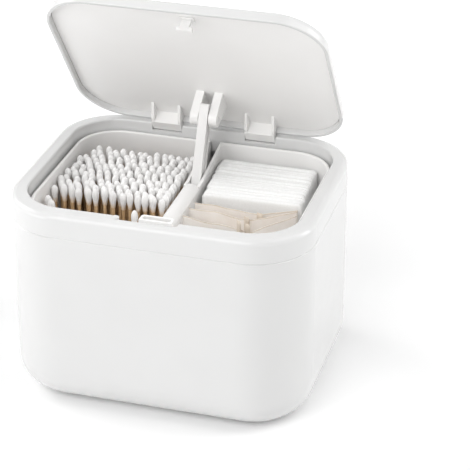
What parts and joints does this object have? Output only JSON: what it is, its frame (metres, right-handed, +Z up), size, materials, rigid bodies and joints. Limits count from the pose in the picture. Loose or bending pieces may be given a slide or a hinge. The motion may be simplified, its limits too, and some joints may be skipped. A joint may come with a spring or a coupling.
{
  "type": "cotton pad dispenser",
  "caption": "Rounded white box whose hinged lid raises a divided tray through an arm, holding cotton swabs, cotton pads and flat sachets.",
  "frame": {"origin": "middle of the box's footprint, on the surface that it stands on", "axes": "+X to the right seen from the front, +Y to the back where the lid is hinged, +Z up"},
  "size_m": [0.175, 0.14, 0.2257],
  "materials": {
    "gloss_white": "polished moulding",
    "satin_white": "satin moulding",
    "rail_white": "slippery satin moulding",
    "pin_steel": "ground",
    "foot_rubber": "matt",
    "bamboo": "smooth turned stick",
    "cotton": "soft pressed fibre",
    "sachet_paper": "thin crimped wrapper"
  },
  "bodies": {
    "case": {"outer_shell": "gloss_white", "top_ring": "gloss_white", "front_catch": "satin_white", "hinge_pins": "pin_steel", "guide_rail_right": "rail_white", "guide_rail_left": "rail_white", "foot_pads": "foot_rubber"},
    "lid": {"lid_cover": "gloss_white", "lid_liner": "satin_white", "latch_hook": "satin_white", "arm_top_pin": "pin_steel"},
    "arm": {"lift_arm": "satin_white", "arm_low_pin": "pin_steel"},
    "tray": {"tray": "satin_white", "channel_cover": "satin_white", "swab_sticks": "bamboo", "swab_tips": "cotton", "leaning_swab_sticks": "bamboo", "leaning_swab_tips": "cotton", "low_swab_sticks": "bamboo", "low_swab_tips": "cotton", "cotton_pads": "cotton", "sachet_1": "sachet_paper", "sachet_2": "sachet_paper", "sachet_3": "sachet_paper"}
  },
  "joints": [
    {"name": "lid_hinge", "type": "hinge", "parent": "case", "child": "lid", "pos_m": [0, 0.0636, 0.1204], "axis": [1, 0, 0], "range_deg": [0, 54]},
    {"name": "arm_pivot", "type": "hinge", "parent": "lid", "child": "arm", "pos_m": [0, 0.0385, 0.141], "axis": [1, 0, 0], "range_deg": [-43.3, 0]},
    {"name": "tray_lift", "type": "slide", "parent": "case", "child": "tray", "axis": [0, 0, 1], "range_m": [-0.0313, 0]}
  ],
  "couplings": [
    {"joint": "arm_pivot", "follows": "lid_hinge", "ratio": -0.8},
    {"joint": "tray_lift", "follows": "lid_hinge", "m_per_rad": -0.0331}
  ]
}
